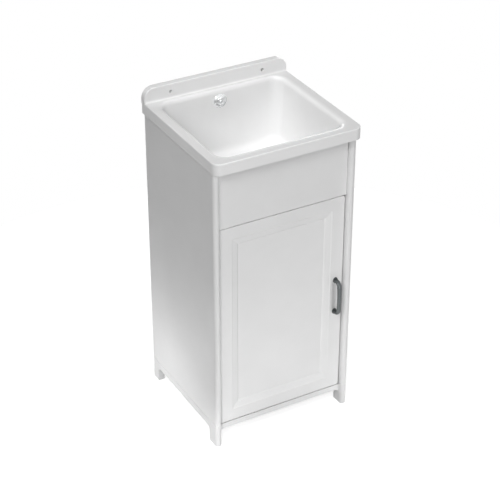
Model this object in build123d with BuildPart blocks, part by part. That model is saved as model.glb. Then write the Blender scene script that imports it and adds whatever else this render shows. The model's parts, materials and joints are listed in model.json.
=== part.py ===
"""Utility laundry sink: a moulded basin on a one-door floor-standing cabinet.

Millimetres, +Z up. The origin is on the floor, below the middle of the rim, and the front faces -Y.
"""

import os
from math import cos, radians, sin, tan

from build123d import *

os.makedirs("parts", exist_ok=True)


ON_TOP = (Align.CENTER, Align.CENTER, Align.MIN)
BELOW = (Align.CENTER, Align.CENTER, Align.MAX)


def finish(piece, name):
    """Name a finished piece and write it to its own file."""
    piece.part.label = name
    export_step(piece.part, f"parts/{name}.step")


# ---------------------------------------------------------------- driving dimensions

# Basin rim and backsplash
RIM_WIDTH = 413.0
RIM_DEPTH = 392.0
RIM_TOP = 850.0
SKIRT_HEIGHT = 31.0
RIM_FRONT_CORNER = 22.0
RIM_REAR_CORNER = 3.0
RIM_EDGE_ROUND = 3.0
SHELL = 3.5
SPLASH_TOP = 889.5
SPLASH_THICKNESS = 18.0
SPLASH_CORNER = 30.0
SPLASH_FACE = 4.0
SPLASH_EDGE_ROUND = 2.5
SPLASH_JUNCTION_ROUND = 5.5
WALL_SCREW_SPACING = 266.0
WALL_SCREW_HOLE_RADIUS = 4.0
WALL_SCREW_HEIGHT = 868.5

# Bowl
BOWL_HALF_WIDTH = 174.0
BOWL_FRONT = -159.0
BOWL_BACK = 163.0
BOWL_CORNER = 30.0
BOWL_FLOOR = 670.0
BOWL_DRAFT = 2.5
BOWL_FLOOR_ROUND = 20.0
BOWL_FLOOR_THICKNESS = 6.0
LIP_ROUND = 14.0
LIP_ROUND_FRONT = 22.0
LIP_ROUND_BACK = 8.8
LIP_CREST = 0.01
DISH_RADIUS = 135.0
DISH_DEPTH = 3.0

# Cabinet
CABINET_HALF_WIDTH = 201.5
CABINET_BACK = 190.5
PANEL_THICKNESS = 13.0
POST_RADIUS = 9.2
POST_CENTRE_Y = -167.8
POST_TOP = 840.0
APRON_FACE = -165.0
APRON_THICKNESS = 2.0
APRON_TOP = 834.0
APRON_SIDE_GAP = 0.8
RAIL_THICKNESS = 18.0

# Base moulding with its feet
BASE_TOP = 66.0
SIDE_ARCH_TOP = 44.5
FRONT_ARCH_TOP = 43.0
FOOT_WIDTH = 18.4
FRONT_FOOT_BACK = -139.0
REAR_FOOT_FRONT = 162.0
ARCH_ROUND = 12.0
FOOT_EDGE_ROUND = 1.5
FRONT_RAIL_FACE = -163.0
FRONT_RAIL_TOP = 60.0
JOINT_CHAMFER = 1.2

# Door
DOOR_FACE = -163.0
DOOR_THICKNESS = 18.0
DOOR_BOTTOM = 62.0
DOOR_TOP = 649.5
DOOR_TOP_GAP = 3.0
DOOR_HALF_WIDTH = 181.0
DOOR_CORNER = 8.0
DOOR_EDGE_ROUND = 1.8
FIELD_OUTER_HALF_WIDTH = 145.0
FIELD_MARGIN = 35.0
FIELD_EDGE_WIDTH = 2.5
FIELD_EDGE_DEPTH = 1.2
FIELD_SLOPE_WIDTH = 14.0
FIELD_SLOPE_DEPTH = 2.3
FIELD_STEP_WIDTH = 4.0
FIELD_STEP_DEPTH = 2.5

# Handle
HANDLE_X = 160.0
HANDLE_TOP_FIXING = 403.0
HANDLE_SPACING = 96.0
HANDLE_LEG = 9.0
HANDLE_BEND = 12.0
HANDLE_ARCH_ANGLE = 7.0

# Drain, overflow and trap
DRAIN_HOLE_RADIUS = 24.0
DRAIN_RECESS_RADIUS = 37.0
DRAIN_RECESS_DEPTH = 2.5
DRAIN_BOSS_RADIUS = 46.0
DRAIN_BOSS_DROP = 4.0
OVERFLOW_HEIGHT = 817.5
OVERFLOW_PIPE_RADIUS = 10.0
OVERFLOW_PIPE_Y = 179.2
OVERFLOW_INLET_HEIGHT = 640.0
WASTE_PIPE_RADIUS = 20.0
WASTE_PIPE_WALL = 1.8
WASTE_OUTLET_HEIGHT = 524.0

# Clearances
SLIP = 0.05
REST_GAP = 0.1

# ---------------------------------------------------------------- derived places

skirt_bottom = RIM_TOP - SKIRT_HEIGHT
rim_half_width = RIM_WIDTH / 2
rim_half_depth = RIM_DEPTH / 2
splash_front = rim_half_depth - SPLASH_THICKNESS
lip_bottom = RIM_TOP - LIP_ROUND
plate_underside = RIM_TOP - SHELL
bowl_underside = BOWL_FLOOR - BOWL_FLOOR_THICKNESS
bowl_depth = BOWL_BACK - BOWL_FRONT
bowl_middle_y = (BOWL_BACK + BOWL_FRONT) / 2
dish_sphere = (DISH_RADIUS**2 + DISH_DEPTH**2) / (2 * DISH_DEPTH)
seat_height = BOWL_FLOOR - DISH_DEPTH - DRAIN_RECESS_DEPTH
boss_underside = bowl_underside - DRAIN_BOSS_DROP
panel_inner_x = CABINET_HALF_WIDTH - PANEL_THICKNESS
post_centre_x = CABINET_HALF_WIDTH - POST_RADIUS
post_inner_x = post_centre_x - POST_RADIUS
post_leg_x = (post_inner_x + panel_inner_x) / 2
post_leg_width = panel_inner_x - post_inner_x
door_back = DOOR_FACE + DOOR_THICKNESS
door_height = DOOR_TOP - DOOR_BOTTOM
door_mid = (DOOR_TOP + DOOR_BOTTOM) / 2
pivot_x = -(DOOR_HALF_WIDTH - DOOR_THICKNESS / 2)
pivot_y = DOOR_FACE + DOOR_THICKNESS / 2
apron_bottom = DOOR_TOP + DOOR_TOP_GAP
rear_rail_front = CABINET_BACK - RAIL_THICKNESS


def lip_sections(steps):
    """Outlines of the bowl's rolled lip, from just above the flat rim down to the wall."""
    outlines = []
    for step in range(steps + 1):
        turn = radians(90 * step / steps)
        side = LIP_ROUND * (1 - sin(turn))
        front = LIP_ROUND_FRONT * (1 - sin(turn))
        back = LIP_ROUND_BACK * (1 - sin(turn))
        with BuildSketch(Plane.XY.offset(lip_bottom + (LIP_ROUND + LIP_CREST) * cos(turn))) as outline:
            with Locations((0, bowl_middle_y + (back - front) / 2)):
                RectangleRounded(
                    2 * (BOWL_HALF_WIDTH + side),
                    bowl_depth + front + back,
                    BOWL_CORNER + (2 * side + front + back) / 4,
                )
        outlines.append(outline.sketch.face())
    return outlines


# ---------------------------------------------------------------- basin

LIP_STEPS = 5
LIP_DRAFT = 2 * (LIP_ROUND - SHELL) * tan(radians(BOWL_DRAFT))
SPLASH_RIB = 3.0
SPLASH_RIB_SPACING = 60.0
SPLASH_RIBS = 6
SPLASH_BOSS_RADIUS = 8.0
OVERFLOW_HOLE_RADIUS = 10.5

with BuildPart() as splash:
    # Upright plate of the backsplash, with rounded upper corners and front edges
    with BuildSketch(Plane.XZ.offset(-splash_front)) as splash_outline:
        with Locations((0, (SPLASH_TOP + plate_underside) / 2)):
            Rectangle(RIM_WIDTH, SPLASH_TOP - plate_underside)
        fillet(splash_outline.vertices().group_by(Axis.Y)[-1], SPLASH_CORNER)
    extrude(amount=-SPLASH_THICKNESS)
    splash_face = splash.faces().filter_by(Plane.XZ).sort_by(Axis.Y)[0]
    fillet(splash_face.edges().sort_by(Axis.Z)[1:], SPLASH_EDGE_ROUND)

with BuildPart() as bowl_space:
    # The space inside the bowl: drafted walls with a rounded floor, opened out at the rolled lip
    with BuildSketch(Plane((0, bowl_middle_y, lip_bottom), z_dir=(0, 0, -1))):
        RectangleRounded(2 * BOWL_HALF_WIDTH, bowl_depth, BOWL_CORNER)
    extrude(amount=lip_bottom - BOWL_FLOOR, taper=BOWL_DRAFT)
    fillet(bowl_space.faces().sort_by(Axis.Z)[0].edges(), BOWL_FLOOR_ROUND)
    loft(lip_sections(LIP_STEPS))
    # The floor dishes towards the drain, which sits in a shallow round seat
    with BuildSketch(Plane.XZ):
        with BuildLine():
            RadiusArc((0, BOWL_FLOOR - DISH_DEPTH), (DISH_RADIUS, BOWL_FLOOR), -dish_sphere)
            Polyline((DISH_RADIUS, BOWL_FLOOR), (0, BOWL_FLOOR), (0, BOWL_FLOOR - DISH_DEPTH))
        make_face()
    revolve(axis=Axis.Z)
    with BuildSketch(Plane.XY.offset(seat_height)):
        Circle(DRAIN_RECESS_RADIUS)
    extrude(amount=DRAIN_RECESS_DEPTH + DISH_DEPTH)

with BuildPart() as basin:
    # Rim: a flat top with a skirt that hangs over the cabinet
    with BuildSketch(Plane.XY.offset(skirt_bottom)) as rim_plan:
        Rectangle(RIM_WIDTH, RIM_DEPTH)
        fillet(rim_plan.vertices().group_by(Axis.Y)[0], RIM_FRONT_CORNER)
        fillet(rim_plan.vertices().group_by(Axis.Y)[-1], RIM_REAR_CORNER)
    extrude(amount=SKIRT_HEIGHT)
    fillet(basin.faces().sort_by(Axis.Z)[-1].edges(), RIM_EDGE_ROUND)

    # Backsplash along the rear, with a hollow round where it meets the rim
    add(splash)
    with BuildSketch(Plane.YZ.offset(-rim_half_width + RIM_EDGE_ROUND)) as junction:
        with BuildLine():
            Polyline(
                (splash_front - SPLASH_JUNCTION_ROUND, RIM_TOP),
                (splash_front, RIM_TOP),
                (splash_front, RIM_TOP + SPLASH_JUNCTION_ROUND),
            )
            RadiusArc(
                (splash_front, RIM_TOP + SPLASH_JUNCTION_ROUND),
                (splash_front - SPLASH_JUNCTION_ROUND, RIM_TOP),
                SPLASH_JUNCTION_ROUND,
            )
        make_face()
    extrude(amount=RIM_WIDTH - 2 * RIM_EDGE_ROUND)

    # Hollow under the rim, behind the skirt
    with BuildSketch(Plane.XY.offset(skirt_bottom)) as skirt_hollow:
        Rectangle(RIM_WIDTH - 2 * SHELL, RIM_DEPTH - 2 * SHELL)
        fillet(skirt_hollow.vertices().group_by(Axis.Y)[0], RIM_FRONT_CORNER - SHELL)
    extrude(amount=SKIRT_HEIGHT - SHELL, mode=Mode.SUBTRACT)

    # Outside of the bowl: drafted walls, rounded into the rim above and the floor below
    with BuildSketch(Plane((0, bowl_middle_y, plate_underside), z_dir=(0, 0, -1))):
        RectangleRounded(
            2 * (BOWL_HALF_WIDTH + SHELL) + LIP_DRAFT,
            bowl_depth + 2 * SHELL + LIP_DRAFT,
            BOWL_CORNER + SHELL + LIP_DRAFT / 2,
        )
    extrude(amount=plate_underside - bowl_underside, taper=BOWL_DRAFT)
    fillet(basin.faces().sort_by(Axis.Z)[0].edges(), BOWL_FLOOR_ROUND + SHELL)
    under_lip = basin.edges().filter_by(
        lambda edge: abs(edge.center().Z - plate_underside) < REST_GAP
        and abs(edge.center().X) < BOWL_HALF_WIDTH + 2 * SHELL
        and abs(edge.center().Y) < BOWL_BACK + 2 * SHELL
    )
    fillet(under_lip, LIP_ROUND - SHELL)
    with BuildSketch(Plane.XY.offset(boss_underside)):
        Circle(DRAIN_BOSS_RADIUS)
    extrude(amount=bowl_underside - boss_underside)

    # Inside of the bowl, and the drain hole in its floor
    add(bowl_space, mode=Mode.SUBTRACT)
    with BuildSketch(Plane.XY.offset(boss_underside)):
        Circle(DRAIN_HOLE_RADIUS)
    extrude(amount=seat_height - boss_underside, mode=Mode.SUBTRACT)

    # The backsplash is open behind, with ribs and two bosses for the wall screws
    splash_hollow_bottom = RIM_TOP + REST_GAP
    splash_hollow_top = SPLASH_TOP - SPLASH_FACE
    with BuildSketch(Plane.XZ.offset(-rim_half_depth)) as pockets:
        with Locations((0, (splash_hollow_top + splash_hollow_bottom) / 2)):
            Rectangle(RIM_WIDTH - 2 * SPLASH_FACE, splash_hollow_top - splash_hollow_bottom)
        fillet(pockets.vertices().group_by(Axis.Y)[-1], SPLASH_CORNER - SPLASH_FACE)
        with Locations((0, (splash_hollow_top + splash_hollow_bottom) / 2)):
            with GridLocations(SPLASH_RIB_SPACING, 0, SPLASH_RIBS, 1):
                Rectangle(SPLASH_RIB, SPLASH_TOP - RIM_TOP, mode=Mode.SUBTRACT)
        with Locations((0, WALL_SCREW_HEIGHT)):
            with GridLocations(WALL_SCREW_SPACING, 0, 2, 1):
                Circle(SPLASH_BOSS_RADIUS, mode=Mode.SUBTRACT)
    extrude(amount=SPLASH_THICKNESS - SPLASH_FACE, mode=Mode.SUBTRACT)
    with BuildSketch(Plane.XZ.offset(-rim_half_depth)):
        with Locations((0, WALL_SCREW_HEIGHT)):
            with GridLocations(WALL_SCREW_SPACING, 0, 2, 1):
                Circle(WALL_SCREW_HOLE_RADIUS)
    extrude(amount=SPLASH_THICKNESS, mode=Mode.SUBTRACT)

    # Overflow hole through the back wall of the bowl, square to the wall
    overflow_drop = lip_bottom - OVERFLOW_HEIGHT
    overflow_wall_y = BOWL_BACK - overflow_drop * tan(radians(BOWL_DRAFT))
    overflow_face = Plane(
        (0, overflow_wall_y, OVERFLOW_HEIGHT),
        x_dir=(1, 0, 0),
        z_dir=(0, -cos(radians(BOWL_DRAFT)), sin(radians(BOWL_DRAFT))),
    )
    with BuildSketch(overflow_face.offset(-2 * SHELL)):
        Circle(OVERFLOW_HOLE_RADIUS)
    extrude(amount=3 * SHELL, mode=Mode.SUBTRACT)
finish(basin, "basin")

# ---------------------------------------------------------------- overflow

ROSETTE_RADIUS = 18.5
ROSETTE_HEIGHT = 6.5
ROSETTE_EDGE = 1.0
ROSETTE_WALL = 1.5
ROSETTE_CROWN = 24.0
ROSETTE_HOLES = 5
ROSETTE_HOLE_RADIUS = 2.2
ROSETTE_HOLE_CIRCLE = 12.5
ROSETTE_HOLE_ANGLE = 28.0
ROSETTE_LOWEST = 270.0
OVERFLOW_SCREW_RADIUS = 2.5
OVERFLOW_SCREW_HEAD_RADIUS = 5.0
OVERFLOW_SCREW_HEAD = 1.8
OVERFLOW_SCREW_LENGTH = 20.0
SEAL_THICKNESS = 2.0
SEAL_RADIUS = 15.0
ELBOW_FLANGE_RADIUS = 16.5
ELBOW_FLANGE = 2.5
ELBOW_RADIUS = 11.8
ELBOW_BORE = 8.5
ELBOW_BOTTOM = 792.0
ELBOW_SOCKET = 12.0
ELBOW_BAR = 6.0

overflow_axis = Axis(overflow_face.origin, overflow_face.z_dir)
overflow_profile = Plane(overflow_face.origin, x_dir=(1, 0, 0), z_dir=-overflow_face.y_dir)
overflow_back = overflow_face.offset(-SHELL)
elbow_face = overflow_back.offset(-SEAL_THICKNESS)
elbow_length = OVERFLOW_PIPE_Y + ELBOW_RADIUS - elbow_face.origin.Y

with BuildPart() as rosette:
    # A shallow hollow dome that the screw pulls against the wall
    with BuildSketch(overflow_profile):
        with BuildLine():
            Polyline(
                (ROSETTE_RADIUS - ROSETTE_WALL, 0),
                (ROSETTE_RADIUS, 0),
                (ROSETTE_RADIUS, ROSETTE_EDGE),
            )
            RadiusArc(
                (ROSETTE_RADIUS, ROSETTE_EDGE),
                (OVERFLOW_SCREW_HEAD_RADIUS, ROSETTE_HEIGHT),
                -ROSETTE_CROWN,
            )
            Polyline(
                (OVERFLOW_SCREW_HEAD_RADIUS, ROSETTE_HEIGHT),
                (OVERFLOW_SCREW_RADIUS, ROSETTE_HEIGHT),
                (OVERFLOW_SCREW_RADIUS, ROSETTE_HEIGHT - ROSETTE_WALL),
            )
            RadiusArc(
                (OVERFLOW_SCREW_RADIUS, ROSETTE_HEIGHT - ROSETTE_WALL),
                (ROSETTE_RADIUS - ROSETTE_WALL, 0),
                ROSETTE_CROWN,
            )
        make_face()
    revolve(axis=overflow_axis)
    # Water enters by a row of holes round the lower half
    with BuildSketch(overflow_face):
        with PolarLocations(
            ROSETTE_HOLE_CIRCLE,
            ROSETTE_HOLES,
            start_angle=ROSETTE_LOWEST - ROSETTE_HOLE_ANGLE * (ROSETTE_HOLES - 1) / 2,
            angular_range=ROSETTE_HOLE_ANGLE * ROSETTE_HOLES,
        ):
            Circle(ROSETTE_HOLE_RADIUS)
    extrude(amount=ROSETTE_HEIGHT, mode=Mode.SUBTRACT)
finish(rosette, "overflow_rosette")

with BuildPart() as overflow_screw:
    with Locations(overflow_face.offset(ROSETTE_HEIGHT)):
        Cylinder(OVERFLOW_SCREW_HEAD_RADIUS, OVERFLOW_SCREW_HEAD, align=ON_TOP)
        Cylinder(OVERFLOW_SCREW_RADIUS, OVERFLOW_SCREW_LENGTH, align=BELOW)
    fillet(overflow_screw.faces().sort_by(overflow_axis)[-1].edges(), OVERFLOW_SCREW_HEAD / 2)
finish(overflow_screw, "overflow_screw")

with BuildPart() as overflow_seal:
    with BuildSketch(overflow_back):
        Circle(SEAL_RADIUS)
        Circle(OVERFLOW_HOLE_RADIUS, mode=Mode.SUBTRACT)
    extrude(amount=-SEAL_THICKNESS)
finish(overflow_seal, "overflow_seal")

with BuildPart() as elbow:
    # Turns the water from the hole in the wall down into the pipe
    with BuildSketch(elbow_face):
        Circle(ELBOW_FLANGE_RADIUS)
    extrude(amount=-ELBOW_FLANGE)
    with BuildSketch(elbow_face):
        Circle(ELBOW_RADIUS)
    extrude(amount=-elbow_length + ELBOW_FLANGE / 2)
    with BuildSketch(Plane.XY.offset(ELBOW_BOTTOM)):
        with Locations((0, OVERFLOW_PIPE_Y)):
            Circle(ELBOW_RADIUS)
    extrude(amount=OVERFLOW_HEIGHT - ELBOW_BOTTOM)
    # Bores, with a bar left across the mouth for the screw
    with BuildSketch(elbow_face):
        Circle(ELBOW_BORE)
        Rectangle(ELBOW_BAR, 2 * ELBOW_RADIUS, mode=Mode.SUBTRACT)
    extrude(amount=-ELBOW_BAR, mode=Mode.SUBTRACT)
    with BuildSketch(elbow_face.offset(-ELBOW_BAR)):
        Circle(ELBOW_BORE)
    extrude(amount=ELBOW_BAR - OVERFLOW_PIPE_Y + elbow_face.origin.Y, mode=Mode.SUBTRACT)
    with Locations((0, OVERFLOW_PIPE_Y, ELBOW_BOTTOM)):
        Cylinder(
            OVERFLOW_PIPE_RADIUS + SLIP,
            ELBOW_SOCKET,
            align=ON_TOP,
            mode=Mode.SUBTRACT,
        )
    with Locations((0, OVERFLOW_PIPE_Y, ELBOW_BOTTOM + ELBOW_SOCKET)):
        Cylinder(
            ELBOW_BORE,
            OVERFLOW_HEIGHT - ELBOW_BOTTOM - ELBOW_SOCKET,
            align=ON_TOP,
            mode=Mode.SUBTRACT,
        )
    with Locations(elbow_face):
        Cylinder(OVERFLOW_SCREW_RADIUS, 2 * ELBOW_BAR + REST_GAP, mode=Mode.SUBTRACT)
finish(elbow, "overflow_elbow")

# ---------------------------------------------------------------- drain

SEAT_GASKET = 1.0
STRAINER_RADIUS = 35.5
STRAINER_NECK_RADIUS = 23.5
STRAINER_NECK_WALL = 1.2
STRAINER_NECK_LENGTH = 14.0
STRAINER_DISH = 3.0
STRAINER_SHEET = 1.3
STRAINER_HOLE_RADIUS = 2.6
STRAINER_INNER_CIRCLE = 10.0
STRAINER_INNER_HOLES = 6
STRAINER_OUTER_CIRCLE = 16.5
STRAINER_OUTER_HOLES = 12
DRAIN_SCREW_RADIUS = 3.0
DRAIN_SCREW_HEAD_RADIUS = 6.5
DRAIN_SCREW_HEAD = 2.2
DRAIN_SCREW_LENGTH = 30.0
UNDER_GASKET = 3.0
DRAIN_FLANGE_RADIUS = 36.0
DRAIN_FLANGE = 4.0
DRAIN_CUP_RADIUS = 30.0
DRAIN_WALL = 3.0
DRAIN_CUP_BOTTOM = 627.0
DRAIN_TAIL_TOP = 619.0
DRAIN_TAIL_RADIUS = 23.0
DRAIN_TAIL_BOTTOM = 602.0
INLET_SOCKET_END = 50.0
INLET_SOCKET_RADIUS = 13.0
INLET_SOCKET_DEPTH = 16.0
SPIDER_TOP = 644.0
SPIDER_HEIGHT = 8.0

gasket_top = seat_height + SEAT_GASKET
strainer_top = gasket_top + STRAINER_SHEET
under_gasket_bottom = boss_underside - UNDER_GASKET
drain_flange_bottom = under_gasket_bottom - DRAIN_FLANGE
waste_bore = WASTE_PIPE_RADIUS + SLIP


def ring(radius, bore, height, bottom):
    """Flat ring about the drain's axis."""
    with BuildPart() as flat_ring:
        with BuildSketch(Plane.XY.offset(bottom)):
            Circle(radius)
            Circle(bore, mode=Mode.SUBTRACT)
        extrude(amount=height)
    return flat_ring


upper_gasket = ring(STRAINER_RADIUS, DRAIN_HOLE_RADIUS, SEAT_GASKET, seat_height)
finish(upper_gasket, "drain_gasket_upper")
lower_gasket = ring(DRAIN_FLANGE_RADIUS, DRAIN_HOLE_RADIUS, UNDER_GASKET, under_gasket_bottom)
finish(lower_gasket, "drain_gasket_lower")

with BuildPart() as strainer:
    # Dished steel plate with a neck that passes down through the bowl's floor
    with BuildSketch(Plane.XZ):
        with BuildLine():
            Polyline(
                (DRAIN_SCREW_RADIUS, strainer_top - STRAINER_DISH),
                (STRAINER_NECK_RADIUS - 3 * STRAINER_NECK_WALL, strainer_top - STRAINER_DISH),
                (STRAINER_NECK_RADIUS + STRAINER_NECK_WALL, strainer_top),
                (STRAINER_RADIUS - STRAINER_SHEET, strainer_top),
                (STRAINER_RADIUS, gasket_top),
                (STRAINER_NECK_RADIUS, gasket_top),
                (STRAINER_NECK_RADIUS, gasket_top - STRAINER_NECK_LENGTH),
                (STRAINER_NECK_RADIUS - STRAINER_NECK_WALL, gasket_top - STRAINER_NECK_LENGTH),
                (STRAINER_NECK_RADIUS - STRAINER_NECK_WALL, gasket_top - STRAINER_DISH),
                (DRAIN_SCREW_RADIUS, gasket_top - STRAINER_DISH),
                close=True,
            )
        make_face()
    revolve(axis=Axis.Z)
    with BuildSketch(Plane.XY.offset(gasket_top - STRAINER_NECK_LENGTH)):
        with PolarLocations(STRAINER_INNER_CIRCLE, STRAINER_INNER_HOLES):
            Circle(STRAINER_HOLE_RADIUS)
        with PolarLocations(STRAINER_OUTER_CIRCLE, STRAINER_OUTER_HOLES):
            Circle(STRAINER_HOLE_RADIUS)
    extrude(amount=STRAINER_NECK_LENGTH, mode=Mode.SUBTRACT)
finish(strainer, "drain_strainer")

with BuildPart() as drain_screw:
    with Locations((0, 0, strainer_top - STRAINER_DISH)):
        Cylinder(DRAIN_SCREW_HEAD_RADIUS, DRAIN_SCREW_HEAD, align=ON_TOP)
        Cylinder(DRAIN_SCREW_RADIUS, DRAIN_SCREW_LENGTH, align=BELOW)
    fillet(drain_screw.faces().sort_by(Axis.Z)[-1].edges(), DRAIN_SCREW_HEAD / 2)
finish(drain_screw, "drain_screw")

with BuildPart() as drain_body:
    # Flanged cup below the bowl, narrowing to a threaded tail
    with BuildSketch(Plane.XZ):
        with BuildLine():
            Polyline(
                (DRAIN_CUP_RADIUS - DRAIN_WALL, under_gasket_bottom),
                (DRAIN_FLANGE_RADIUS, under_gasket_bottom),
                (DRAIN_FLANGE_RADIUS, drain_flange_bottom),
                (DRAIN_CUP_RADIUS, drain_flange_bottom),
                (DRAIN_CUP_RADIUS, DRAIN_CUP_BOTTOM),
                (DRAIN_TAIL_RADIUS, DRAIN_TAIL_TOP),
                (DRAIN_TAIL_RADIUS, DRAIN_TAIL_BOTTOM),
                (waste_bore, DRAIN_TAIL_BOTTOM),
                (waste_bore, DRAIN_TAIL_TOP),
                (DRAIN_CUP_RADIUS - DRAIN_WALL, DRAIN_CUP_BOTTOM),
                close=True,
            )
        make_face()
    revolve(axis=Axis.Z)
    # Side socket for the overflow pipe
    with BuildSketch(Plane.XZ.offset(-INLET_SOCKET_END)):
        with Locations((0, OVERFLOW_INLET_HEIGHT)):
            Circle(INLET_SOCKET_RADIUS)
    extrude(amount=INLET_SOCKET_END - DRAIN_CUP_RADIUS + DRAIN_WALL)
    with BuildSketch(Plane.XZ.offset(-INLET_SOCKET_END)):
        with Locations((0, OVERFLOW_INLET_HEIGHT)):
            Circle(ELBOW_BORE)
    extrude(amount=INLET_SOCKET_END - DRAIN_TAIL_RADIUS, mode=Mode.SUBTRACT)
    with BuildSketch(Plane.XZ.offset(-INLET_SOCKET_END)):
        with Locations((0, OVERFLOW_INLET_HEIGHT)):
            Circle(OVERFLOW_PIPE_RADIUS + SLIP)
    extrude(amount=INLET_SOCKET_DEPTH, mode=Mode.SUBTRACT)
    # A bar across the cup takes the strainer's screw
    with BuildSketch(Plane.XY.offset(SPIDER_TOP - SPIDER_HEIGHT)):
        Rectangle(2 * DRAIN_CUP_RADIUS - DRAIN_WALL, 2 * DRAIN_SCREW_RADIUS)
        Circle(2 * DRAIN_SCREW_RADIUS)
    extrude(amount=SPIDER_HEIGHT)
    with Locations((0, 0, SPIDER_TOP)):
        Cylinder(DRAIN_SCREW_RADIUS, 2 * SPIDER_HEIGHT + REST_GAP, mode=Mode.SUBTRACT)
finish(drain_body, "drain_body")

OVERFLOW_PIPE_WALL = 1.5
OVERFLOW_PIPE_BEND = 40.0

with BuildPart() as overflow_pipe:
    # Down behind the bowl, then forward under it to the drain
    with BuildLine() as overflow_route:
        FilletPolyline(
            (0, OVERFLOW_PIPE_Y, ELBOW_BOTTOM + ELBOW_SOCKET),
            (0, OVERFLOW_PIPE_Y, OVERFLOW_INLET_HEIGHT),
            (0, INLET_SOCKET_END - INLET_SOCKET_DEPTH, OVERFLOW_INLET_HEIGHT),
            radius=OVERFLOW_PIPE_BEND,
        )
    with BuildSketch(Plane(overflow_route.line @ 0, z_dir=overflow_route.line % 0)):
        Circle(OVERFLOW_PIPE_RADIUS)
        Circle(OVERFLOW_PIPE_RADIUS - OVERFLOW_PIPE_WALL, mode=Mode.SUBTRACT)
    sweep()
finish(overflow_pipe, "overflow_pipe")

# ---------------------------------------------------------------- bottle trap

NUT_WALL = 6.0
NUT_HEIGHT = 22.0
NUT_FLOOR = 4.0
NUT_GRIPS = 10
NUT_GRIP_RADIUS = 2.0
TRAP_SEAL = 3.0
TRAP_RADIUS = 33.0
TRAP_WALL = 2.5
TRAP_TOP = 552.0
TRAP_SOCKET_TOP = 570.0
TRAP_SOCKET_RADIUS = 24.0
TRAP_BOTTOM = 492.0
TRAP_OUTLET_END = 60.0
TRAP_OUTLET_DEPTH = 16.0
TRAP_OUTLET_LENGTH = 38.0
DIP_PIPE_BOTTOM = 465.0
CUP_TOP = 499.0
CUP_SHOULDER = 489.0
CUP_BOTTOM = 430.0
CUP_RIM_RADIUS = 38.0
CUP_RADIUS = 34.5
CUP_CHINE = 10.0
CUP_GRIPS = 12
CUP_GRIP_OVERLAP = 1.0
OUTLET_STOP_RADIUS = 22.5
OUTLET_STOP_Y = 146.0
OUTLET_STOP_WIDTH = 4.0


def union_nut(plane, thread_radius, name):
    """Ribbed plastic nut. The plane is its open end, which faces the thread it screws on to."""
    with BuildPart() as nut:
        with BuildSketch(plane):
            Circle(thread_radius + NUT_WALL)
            with PolarLocations(thread_radius + NUT_WALL, NUT_GRIPS):
                Circle(NUT_GRIP_RADIUS)
        extrude(amount=-NUT_HEIGHT)
        with BuildSketch(plane):
            Circle(thread_radius + SLIP)
        extrude(amount=NUT_FLOOR - NUT_HEIGHT, mode=Mode.SUBTRACT)
        with BuildSketch(plane):
            Circle(waste_bore)
        extrude(amount=-NUT_HEIGHT, mode=Mode.SUBTRACT)
    finish(nut, name)


def pipe_seal(plane, radius, name):
    """Rubber ring that the nut squeezes between the pipe and the socket's mouth."""
    with BuildPart() as seal:
        with BuildSketch(plane):
            Circle(radius)
            Circle(waste_bore, mode=Mode.SUBTRACT)
        extrude(amount=TRAP_SEAL)
    finish(seal, name)


drain_tail = Plane.XY.offset(DRAIN_TAIL_BOTTOM)
trap_mouth = Plane.XY.offset(TRAP_SOCKET_TOP)
outlet_mouth = Plane((0, TRAP_OUTLET_END, WASTE_OUTLET_HEIGHT), x_dir=(1, 0, 0), z_dir=(0, 1, 0))
nut_reach = NUT_HEIGHT - NUT_FLOOR - TRAP_SEAL
cup_inner = CUP_RADIUS - 1.5 * TRAP_WALL

pipe_seal(drain_tail.offset(-TRAP_SEAL), DRAIN_TAIL_RADIUS, "drain_tail_seal")
pipe_seal(trap_mouth, TRAP_SOCKET_RADIUS, "trap_inlet_seal")
pipe_seal(outlet_mouth, TRAP_SOCKET_RADIUS, "trap_outlet_seal")
union_nut(drain_tail.offset(nut_reach), DRAIN_TAIL_RADIUS, "drain_tail_nut")
trap_mouth_down = Plane(trap_mouth.origin, z_dir=(0, 0, -1))
outlet_mouth_back = Plane(outlet_mouth.origin, x_dir=(1, 0, 0), z_dir=(0, -1, 0))
union_nut(trap_mouth_down.offset(nut_reach), TRAP_SOCKET_RADIUS, "trap_inlet_nut")
union_nut(outlet_mouth_back.offset(nut_reach), TRAP_SOCKET_RADIUS, "trap_outlet_nut")

finish(
    ring(
        WASTE_PIPE_RADIUS,
        WASTE_PIPE_RADIUS - WASTE_PIPE_WALL,
        DRAIN_TAIL_TOP - DIP_PIPE_BOTTOM,
        DIP_PIPE_BOTTOM,
    ),
    "trap_inlet_pipe",
)

with BuildPart() as trap_body:
    with BuildSketch(Plane.XZ):
        with BuildLine():
            Polyline(
                (waste_bore, TRAP_SOCKET_TOP),
                (TRAP_SOCKET_RADIUS, TRAP_SOCKET_TOP),
                (TRAP_SOCKET_RADIUS, TRAP_TOP),
                (TRAP_RADIUS, TRAP_TOP - TRAP_SEAL),
                (TRAP_RADIUS, TRAP_BOTTOM),
                (TRAP_RADIUS - TRAP_WALL, TRAP_BOTTOM),
                (TRAP_RADIUS - TRAP_WALL, TRAP_TOP - 2 * TRAP_SEAL),
                (waste_bore, TRAP_TOP - TRAP_SEAL),
                close=True,
            )
        make_face()
    revolve(axis=Axis.Z)
    with BuildSketch(outlet_mouth):
        Circle(TRAP_SOCKET_RADIUS)
    extrude(amount=-TRAP_OUTLET_LENGTH)
    with BuildSketch(Plane.XY.offset(TRAP_BOTTOM)):
        Circle(TRAP_RADIUS - TRAP_WALL)
    extrude(amount=TRAP_TOP - 2 * TRAP_SEAL - TRAP_BOTTOM, mode=Mode.SUBTRACT)
    with BuildSketch(outlet_mouth):
        Circle(waste_bore - TRAP_WALL)
    extrude(amount=-TRAP_OUTLET_LENGTH, mode=Mode.SUBTRACT)
    with BuildSketch(outlet_mouth):
        Circle(waste_bore)
    extrude(amount=-TRAP_OUTLET_DEPTH, mode=Mode.SUBTRACT)
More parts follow.
